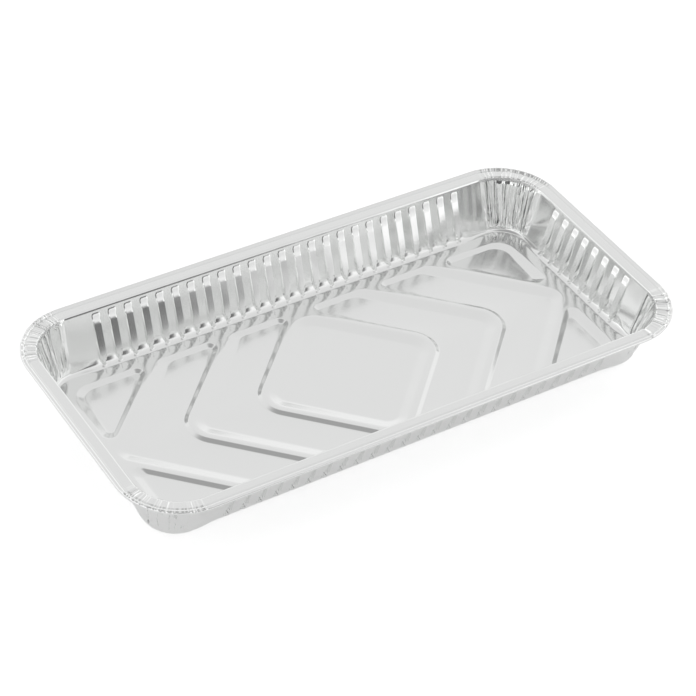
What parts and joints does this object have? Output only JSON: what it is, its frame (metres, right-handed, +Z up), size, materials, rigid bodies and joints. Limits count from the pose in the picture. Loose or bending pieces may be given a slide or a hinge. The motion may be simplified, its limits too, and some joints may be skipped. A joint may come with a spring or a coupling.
{
  "type": "aluminium foil tray",
  "caption": "Long shallow rectangular tray pressed from aluminium foil, with a rolled rim, fluted walls, gathered corners and chevron ribs in its floor.",
  "frame": {"origin": "middle of the footprint, at the underside of the sunk floor panels that the tray rests on", "axes": "+Z up, +X along the long walls, +Y across"},
  "size_m": [0.325, 0.165, 0.034],
  "materials": {
    "foil": "bright rolled foil, lightly satin"
  },
  "bodies": {
    "root": {"tray": "foil"}
  },
  "joints": []
}
